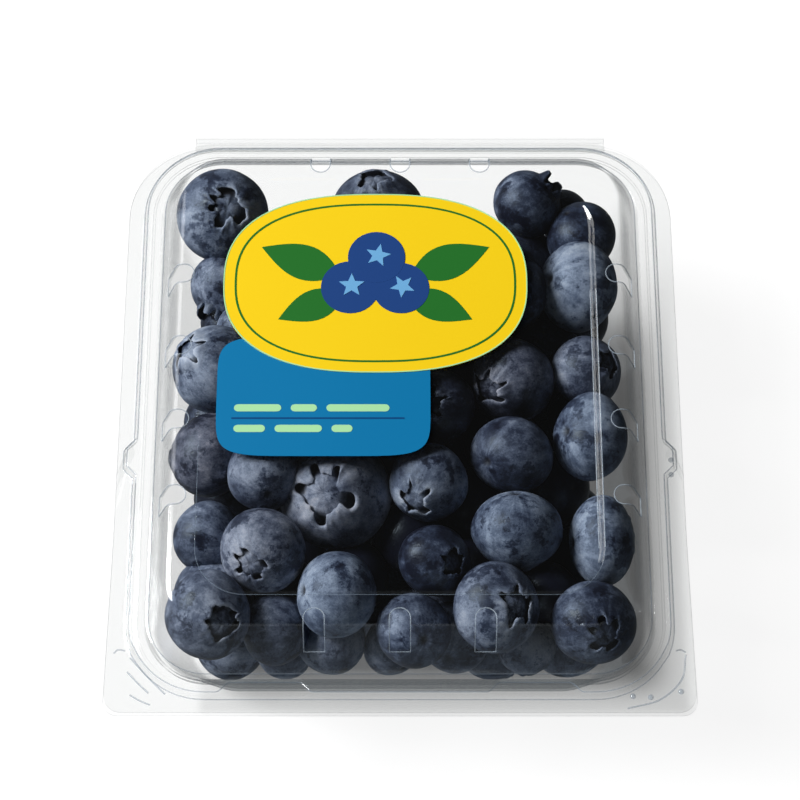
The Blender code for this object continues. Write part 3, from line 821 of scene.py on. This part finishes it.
def curve(points, steps=6):
    """A smooth line through a few points."""
    points = np.array(points)
    points = [2 * points[0] - points[1], *points, 2 * points[-1] - points[-2]]
    made = []
    for a, b, c, d in zip(points, points[1:], points[2:], points[3:]):
        for i in range(steps):
            t = i / steps
            bend = (2 * a - 5 * b + 4 * c - d) * t**2 + (3 * b - a - 3 * c + d) * t**3
            made.append(0.5 * (2 * b + (c - a) * t + bend))
    return made + [points[-2]]


def button(x, y, rings=5, sides=16):
    """A small round dome on the flange."""
    c, s = circle(sides)
    loops = []
    for k in range(rings):
        lean = math.pi / 2 * k / rings
        reach = DOT_RADIUS * math.cos(lean)
        level = LID_FLANGE_TOP + DOT_HEIGHT * math.sin(lean) - DOT_SINK
        loops.append(at_height(np.column_stack([x + reach * c, y + reach * s]), level))
    ends = [(x, y, LID_FLANGE_TOP - DOT_ROOT), (x, y, LID_FLANGE_TOP + DOT_HEIGHT)]
    return np.concatenate(loops + [ends]), stack_faces(rings, sides)


def make_lid():
    # The edge and lip films paint the light lines of the bends, ribs, slots and field, and the edge
    # film their dark lines too.
    film, edge, lip = (clear_sheet(name) for name in ("clear_lid", "clear_edge_painted_highlight_and_shade", "clear_lip_and_painted_highlight"))
    lid = add_object("lid_shell", *shell(lid_rows(), LID_FLANGE_TOP), film)
    low, high = LID_FLANGE_TOP + VENT_BOTTOM, LID_FLANGE_TOP + DOME_HEIGHT + CUT_SPARE
    thicken_and_cut(lid, [placed(prism(vent_outline(), low, high), *place) for place in vent_places()])
    pieces = [lid]
    for name, part, material in (
        ("lid_roll", lid_roll(), film),
        ("lid_vent_lips", vent_lips(), lip),
        ("lid_ribs", flange_ribs(), edge),
        ("lid_creases", crease_lines(), edge),
        ("lid_field_painted_highlight", field_highlight_lines(), lip),
    ):
        pieces.append(add_closed(name, part, material))
    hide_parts("lid")
    for piece in pieces:
        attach(piece, "lid")


def make_tray():
    film = clear_sheet("clear_tray")
    tray = add_object("tray_shell", *shell(tray_rows(), TRAY_FLANGE_TOP), film)
    outline = bar(0.0, 0.0, *BASE_VENT_SIZE, CORNER_STEPS)
    slot = prism([(y, -x) for x, y in outline], *BASE_CUT)
    places = [(c * BASE_VENT_X, r * BASE_VENT_PITCH, 0.0) for c in (-1, 1) for r in (-1, 0, 1)]
    thicken_and_cut(tray, [placed(slot, *place) for place in places])
    pin = add_closed("tray_pin", tray_pin(), film)
    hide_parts("tray")
    for piece in (tray, pin):
        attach(piece, "tray")


# ---- the sticker ----


def superellipse(shape, count=120):
    c, s = circle(count)
    x = shape.x + shape.half_x * np.copysign(abs(c) ** (2 / shape.power), c)
    y = shape.y + shape.half_y * np.copysign(abs(s) ** (2 / shape.power), s)
    return np.column_stack([x, y])


def leaf(x, y, length, width, facing, count=14):
    """A pointed leaf that starts at a point."""
    t = np.arange(count + 1) / count
    half = np.column_stack([length * t, width / 2 * np.sin(np.pi * t**0.85)])
    outline = np.concatenate([half, half[-2:0:-1] * (1, -1)])
    c, s = math.cos(math.radians(facing)), math.sin(math.radians(facing))
    return outline @ [(c, s), (-s, c)] + (x, y)


def disc(x, y, radius, count=36):
    return superellipse(Superellipse(x, y, radius, radius, 2.0), count)


def star(x, y, outer, inner, turn):
    """A star with as many points as a crown has sepals."""
    c, s = circle(2 * SEPALS, turn)
    reach = np.array([outer, inner] * SEPALS)
    return np.column_stack([x + reach * c, y + reach * s])


def band(shape, inset, width, low, high):
    """A thin band along the inside of a superellipse, as points and faces."""
    outer, inner = (
        superellipse(shape._replace(half_x=shape.half_x - by, half_y=shape.half_y - by))
        for by in (inset, inset + width)
    )
    loops = ((outer, low), (outer, high), (inner, high), (inner, low))
    rings = [at_height(*loop) for loop in loops]
    return np.concatenate(rings), hoops(len(loops), len(outer), closed=True)


def make_sticker():
    base = sticker_low.z - STICKER_SINK
    blue_top, yellow_top = base + BLUE_THICK, base + YELLOW_THICK
    low, high = yellow_top - INK_ROOT, yellow_top + INK_RISE
    parts = {name: [] for name in INKS}
    parts["blue"].append(prism(superellipse(FIELD), base, blue_top))
    parts["yellow"].append(prism(superellipse(OVAL), base + YELLOW_LIFT, yellow_top))

    parts["green"].append(band(OVAL, *OVAL_LINE, low, high))
    for side in (-1, 1):
        for across, up, length, width, lift in LEAVES:
            facing = 90.0 - side * (90.0 - lift)
            outline = leaf(OVAL.x + side * across, OVAL.y + up, length, width, facing)
            parts["green"].append(prism(outline, low, high))

    for i, (across, up, radius) in enumerate(FRUIT):
        x, y = OVAL.x + across, OVAL.y + up
        parts["fruit"].append(prism(disc(x, y, radius), low, high + INK_ROOT * (i + 1)))
        reach = (share * radius for share in MARK_REACH)
        mark = star(x + MARK_SHIFT[0], y + MARK_SHIFT[1], *reach, MARK_TURN + MARK_TURN_STEP * i)
        parts["crowns"].append(prism(mark, high, high + MARK_RISE))

    parts["pale"].append(band(OVAL, *OVAL_RIM, low, high))
    low, high = blue_top - INK_ROOT, blue_top + INK_RISE
    for row, lengths in enumerate(BARS):
        at = FIELD.x - FIELD.half_x + BAR_START
        for length in lengths:
            middle = (at + length / 2, FIELD.y - BAR_DROP - BAR_PITCH * row)
            parts["pale"].append(prism(bar(*middle, length, BAR_HEIGHT), low, high))
            at += length + BAR_GAP
    rule = bar(FIELD.x + RULE_SHIFT[0], FIELD.y + RULE_SHIFT[1], *RULE_SIZE)
    parts["rule"].append(prism(rule, low, blue_top + RULE_RISE))

    pieces = [add_closed("sticker_" + name, join_parts(parts[name]), print_ink(name)) for name in INKS]
    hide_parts("sticker")
    for piece in pieces:
        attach(piece, "lid")


# ---- the berries ----


def room_at(height):
    for low, high in zip(ROOM, ROOM[1:]):
        if height <= high[0]:
            share = max((height - low[0]) / (high[0] - low[0]), 0.0)
            return [a + (b - a) * share for a, b in zip(low[1:], high[1:])]
    return ROOM[-1][1:]


def keep_in_room(centre, radius):
    """Pushes a berry in from the leaning walls, the base and the lid."""
    centre.z = min(max(centre.z, ROOM[0][0] + radius), HEAP_TOP - radius)
    *halves, corner = room_at(centre.z)
    radius *= WALL_LEAN
    for i, half in enumerate(halves):
        spare = max(half - radius, 0.0)
        centre[i] = min(max(centre[i], -spare), spare)
    out = Vector([max(abs(centre[i]) - (half - corner), 0.0) for i, half in enumerate(halves)])
    allowed = max(corner - radius, 0.0)
    if out.length > allowed:
        back = out - out.normalized() * allowed
        for i in range(2):
            centre[i] -= math.copysign(back[i], centre[i])


def lower_berries():
    berries = []
    for height, along, half_span, count, radius in LOWER_ROWS:
        for i in range(count):
            sway = math.sin(12.9 * along + 7.3 * i + height)
            across = half_span * (2 * i / (count - 1) - 1)
            centre = Vector((across + sway, along - sway, height + 0.5 * sway))
            berries.append([centre, radius + 0.6 * sway])
    return berries


def settled_berries():
    """The top layer as it lies, and the lower berries eased apart under it."""
    berries = [[Vector(b[:3]), b.radius] for b in TOP_BERRIES]
    shown = len(berries)
    berries += lower_berries()
    for _ in range(SETTLE_ROUNDS):
        for j in range(shown, len(berries)):
            second, second_radius = berries[j]
            for i in range(j):
                first, first_radius = berries[i]
                apart = second - first
                short = TOUCH * (first_radius + second_radius) - apart.length
                push = apart.normalized() * max(short, 0.0) * 0.5
                second += push
                if i >= shown:
                    first -= push
        for centre, radius in berries[shown:]:
            keep_in_room(centre, radius)
    return berries


def ripple(angles, chance, frequencies, amount):
    """An uneven line round a circle."""
    root = len(frequencies) ** 0.5
    return sum(amount * np.sin(f * angles + chance.uniform(0, 6.28)) / root for f in frequencies)


def sepal_shape(angles, crown, gaps, chance):
    """1 along each sepal and 0 in the gaps between them, and how each sepal curls."""
    bent = angles + ripple(angles, chance, (1, 2, 3), 0.05 if gaps else 0.16)
    turn = bent * SEPALS / (2 * math.pi) + chance.uniform(0, 1)
    if gaps:
        around = (np.degrees(bent) - gaps[0]) % 360.0 + gaps[0]
        turn = np.interp(around, (*gaps, gaps[0] + 360.0), range(SEPALS + 1))
    index = np.floor(turn).astype(int) % SEPALS
    across = np.abs(2 * (turn - np.floor(turn)) - 1)
    shape = 1 - smooth(across, crown.broad, crown.broad + 0.36)
    if gaps:
        off_gap = (1 - across) / (1 - crown.broad)
        shape = 1 - np.sqrt(np.clip(1 - off_gap**2, 0, 1))
    length = chance.uniform(0.72, 1.12, SEPALS)[index]
    return shape * length * (1 - 0.18 * across), chance.uniform(0.2, 1.5, SEPALS)[index]


def berry_shape(crown, gaps, detail, chance):
    """A berry of radius 1 with its crown towards +Z: points, dark and pale marks, and rows."""
    squash, sides, body_rows = detail
    angles = 2 * math.pi * np.arange(sides) / sides
    sepal, curl = sepal_shape(angles, crown, gaps, chance)
    rough = ripple(angles, chance, (7, 11, 13, 17), 0.026)
    gap = crown.gap + ripple(angles, chance, (2, 3, 4), 0.022)
    edge = gap - (crown.gap - crown.tip) * sepal + rough * 0.5
    wall = 0.95 * gap
    outer = crown.gap + 0.15
    swirl = ripple(angles, chance, (1, 2, 3), 0.2)
    rows, marks = [], []

    def skin(reach):
        return squash * np.sqrt(np.clip(1 - reach * reach, 0, 1))

    def add(reach, height, dark, pale=0.0):
        at = angles + swirl * smooth(reach, 0.25, 0.5) * (1 - smooth(reach, 0.55, 0.8))
        flat = np.zeros(sides)
        rows.append(np.column_stack([reach * np.cos(at), reach * np.sin(at), height + flat]))
        marks.append(np.column_stack([dark + flat, pale + flat]))

    # the disc inside the crown
    level = skin(crown.gap)
    middle_level = float(skin(0.0)) - crown.middle
    folds = ripple(angles, chance, (2, 3, 5, 9), 0.012 + 0.03 * crown.shade)
    apart = 1 - np.clip(crown.flush * (1 - 0.3 * curl) * sepal * 1.2, 0, 1)
    for share in (0.12, 0.24, 0.38, 0.52, 0.64, 0.76, 0.88, 1.0):
        deep = smooth(share + 0.1 * sepal, 0.55, 0.88)
        scar = 0.02 * math.exp(-(((share - 0.22) / 0.07) ** 2)) - 0.015 * (share < 0.2)
        dome = middle_level + (level - 0.02 - middle_level) * share**2
        # deeper in the gaps between the sepals the disc darkens further: painted shade in the hollow
        dark = crown.shade + (1 - crown.shade) * apart * smooth(share - 0.12 * sepal, 0.52, 0.74)
        sunk = deep * apart * (crown.rim - 0.3 * crown.middle)
        add(wall * share, dome - sunk + scar + folds * share, dark, 0.12 * (share < 0.3))
    # the sepals' inner side, darkened in the gaps by painted shade, their edge, pale partly in its own
    # colour and partly as a painted highlight, and their outer side
    tip_height = skin(edge) + crown.rise * sepal * curl
    bottom = level - crown.rim
    for share in (0.4, 0.8):
        add(wall + (edge + 0.03 - wall) * share, bottom + (tip_height - 0.05 - bottom) * share, apart)
    add(edge + 0.008, tip_height - 0.034, 0.7 * apart)
    add(edge, tip_height - 0.012, 0.1 * apart, 0.8 * crown.light)
    add(edge + 0.018, tip_height, 0.0, crown.light)
    # the fold along each sepal's outer side is darkened: painted shade in the crease
    crease = (0.012 + 0.35 * crown.rise) * sepal
    for share in (0.2, 0.45, 0.7, 0.9):
        ease = float(smooth(share, 0.0, 1.0))
        reach = edge + 0.018 + (outer - edge - 0.018) * share
        height = tip_height + (skin(reach) - tip_height) * ease + rough * (1 - share) * share * 1.8
        fold = math.exp(-(((share - 0.6) / 0.2) ** 2))
        add(reach, height - crease * fold, 6.0 * crease * fold, 0.45 * crown.light * (1 - share))
    # the body, down to the stem's scar
    shoulder = math.asin(min(outer + 0.03, 0.9))
    for i in range(body_rows):
        lean = shoulder + (math.pi - 0.05 - shoulder) * i / (body_rows - 1)
        stem = 1 - float(smooth(math.pi - lean, 0.08, 0.17))
        add(np.full(sides, math.sin(lean)), squash * math.cos(lean) + 0.07 * stem, 0.9 * stem)
    points = np.concatenate(rows + [[(0, 0, middle_level - 0.01), (0, 0, 0.08 - squash)]])
    marks = np.concatenate(marks + [[(crown.shade, 0.1), (0.9, 0.0)]])
    return points, np.clip(marks, 0, 1), len(rows)


def uneven(points, chance):
    """Softly swells and dents a berry of radius 1."""
    direction = points / np.linalg.norm(points, axis=1)[:, None]
    swell = np.zeros(len(points))
    for frequency, amount in ((1.6, 0.014), (2.6, 0.012), (4.5, 0.006), (9.0, 0.0025)):
        for _ in range(3):
            axis = chance.normal(size=3)
            axis /= np.linalg.norm(axis)
            swell += amount * np.sin(frequency * direction @ axis + chance.uniform(0, 6.28))
    dent = chance.normal(size=3)
    dent /= np.linalg.norm(dent)
    away = np.arccos(np.clip(direction @ dent, -1, 1))
    swell -= chance.uniform(0.0, 0.04) * np.exp(-((away / 0.45) ** 2))
    return points * (1 + swell)[:, None]


def placed_berry(centre, berry, detail, seed):
    """One berry's points, faces, and the colour and skin coordinates of each point."""
    chance = np.random.RandomState(seed)
    points, marks, rows = berry_shape(berry.crown, berry.gaps, detail, chance)
    flat = np.ones(len(points))
    reach = np.maximum(np.hypot(points[:, 0], points[:, 1]), 1e-6)
    skin_at = points / np.column_stack([reach, reach, flat]) + chance.uniform(0, 50, 3)
    points = uneven(points, chance)
    around, up = math.radians(berry.around), math.radians(berry.up)
    axis = Vector((math.cos(around) * math.cos(up), math.sin(around) * math.cos(up), math.sin(up)))
    spin = chance.uniform(0, 6.28) * (not berry.gaps)
    turn = Vector((0, 0, 1)).rotation_difference(axis).to_matrix() @ Matrix.Rotation(spin, 3, "Z")
    points = points @ np.array(turn).T * berry.radius
    points *= (berry.wide**0.5, berry.wide**-0.5, 1.0)
    colours = np.column_stack([berry.bloom * flat, berry.warm * flat, marks])
    faces = [face[:1] + face[:0:-1] for face in stack_faces(rows, detail.sides)]
    return points + np.array(centre), faces, colours, skin_at


def make_berry_piece(name, berries, material):
    points, faces, colours, skin_at = zip(*berries)
    made = add_object(name, *join_parts(zip(points, faces)), material, sharp=60.0)
    colour = made.data.color_attributes.new("berry", "FLOAT_COLOR", "POINT")
    colour.data.foreach_set("color", np.concatenate(colours).ravel())
    where = made.data.attributes.new("skin_at", "FLOAT_VECTOR", "POINT")
    where.data.foreach_set("vector", np.concatenate(skin_at).ravel())
    return made


def painted_shade_core_part():
    """A dark block deep in the heap: painted shade that stands for the shaded gaps between the lower
    berries.
    """
    half_x, half_y, corner = room_at(CORE_HIGH)
    outline = Outline(*even(half_x - CORE_INSET, half_y - CORE_INSET, corner))
    return prism(outline_points(outline), CORE_LOW, CORE_HIGH)


def lower_bloom_and_painted_shade(centre):
    """The range of bloom of a lower berry, by where it lies: little for the deep and side ones, a
    painted shade.
    """
    if abs(centre.x) < INNER_X and abs(centre.y) < -FRONT_ROW:
        return DEEP_PAINTED_SHADE_BLOOM
    return FRONT_BLOOM if centre.y < FRONT_ROW else SIDE_PAINTED_SHADE_BLOOM


def make_berries():
    material = berry_skin()
    settled = settled_berries()
    upper, lower = [], []
    for i, (berry, (centre, _)) in enumerate(zip(TOP_BERRIES, settled)):
        upper.append(placed_berry(centre, berry, FINEST if berry.gaps else FINE, TOP_SEED + i))
    for i, (centre, radius) in enumerate(settled[len(TOP_BERRIES):]):
        chance = np.random.RandomState(PLACE_SEED + i)
        around, up = chance.uniform(0, 360), chance.uniform(-60, 0)
        bloom = chance.uniform(*lower_bloom_and_painted_shade(centre))
        berry = Berry(*centre, radius, around, up, OPEN, bloom, LOWER_WARM)
        lower.append(placed_berry(centre, berry, COARSE, LOWER_SEED + i))
    pieces = [
        make_berry_piece("berries_upper", upper, material),
        make_berry_piece("berries_lower", lower, material),
        add_closed("berries_core_painted_shade", painted_shade_core_part(), material),
    ]
    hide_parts("berries")
    for piece in pieces:
        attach(piece, "tray")


# ---- floor, lights and camera ----


def make_floor():
    s = FLOOR_SIZE
    corners = [(x, y, FLOOR_LEVEL) for x, y in ((-s, -s), (s, -s), (s, s), (-s, s))]
    nodes = Nodes(bpy.data.materials.new("floor_white"))
    where = nodes.add("SeparateXYZ", {0: nodes.place()}).outputs
    glow = FLOOR_GLOW
    # The glow dims under the punnet: a painted shadow.
    for depth, *spans in FLOOR_PAINTED_SHADOW:
        under = -depth
        for place, (first, full, last_full, last) in zip(where, spans):
            for start, end in ((first, full), (last, last_full)):
                fade = nodes.spread(place, start * MM, end * MM, interpolation_type="SMOOTHSTEP")
                under = nodes.maths("MULTIPLY", under, fade)
        glow = nodes.maths("ADD", glow, under)
    inputs = {"Base Color": opaque(FLOOR_GREY), "Roughness": 0.8, "Emission Strength": glow}
    shader = nodes.add("BsdfPrincipled", {**inputs, "Emission Color": opaque(WHITE)})
    floor = add_object("floor", corners, [(0, 1, 2, 3)], nodes.finish(shader))
    floor.visible_diffuse = False
    floor.visible_glossy = False


def face_along(made, direction):
    """Turns a light or a camera so that it looks in a direction."""
    made.rotation_euler = direction.to_track_quat("-Z", "Y").to_euler()


def make_lights():
    for name, (place, size, power) in LIGHTS.items():
        data = bpy.data.lights.new(name, "AREA")
        data.shape = "RECTANGLE"
        data.size, data.size_y = (s * MM for s in size)
        data.energy = power
        lamp = link(bpy.data.objects.new(name, data))
        lamp.location = Vector(place) * MM
        face_along(lamp, LIGHT_TARGET - Vector(place))


def make_sky():
    """A dark sky that is pale low in front, and a glow below that fades to the right."""
    nodes = Nodes(bpy.data.worlds.new("studio"))
    inputs = {0: nodes.add("TexCoord").outputs["Generated"]}
    right, back, up = nodes.add("SeparateXYZ", inputs).outputs
    overhead = nodes.spread(right, *SKY_OVERHEAD)
    above = nodes.spread(back, *SKY_FRONT, nodes.spread(back, *SKY_BACK, overhead, SKY_BACK_END))
    below = nodes.spread(right, *SKY_BELOW)
    strength = nodes.spread(up, *SKY_LINE, below, above)
    sky = nodes.add("Background", {"Color": opaque(SKY_COLOUR), "Strength": strength})
    bpy.context.scene.world = nodes.finish(sky, "OutputWorld")


def make_camera():
    tilt = math.radians(VIEW_ELEVATION)
    back = Vector((0.0, -math.cos(tilt), math.sin(tilt)))
    data = bpy.data.cameras.new("camera")
    data.lens = LENS
    data.clip_start = 0.01
    camera = link(bpy.data.objects.new("camera", data))
    camera.location = (VIEW_TARGET + back * VIEW_DISTANCE) * MM
    face_along(camera, -back)
    bpy.context.scene.camera = camera


make_camera()
make_floor()
make_lights()
make_sky()
make_tray()
make_berries()
make_lid()
make_sticker()
bpy.context.scene.view_settings.view_transform = "Standard"
bpy.context.scene.cycles.transparent_max_bounces = 32
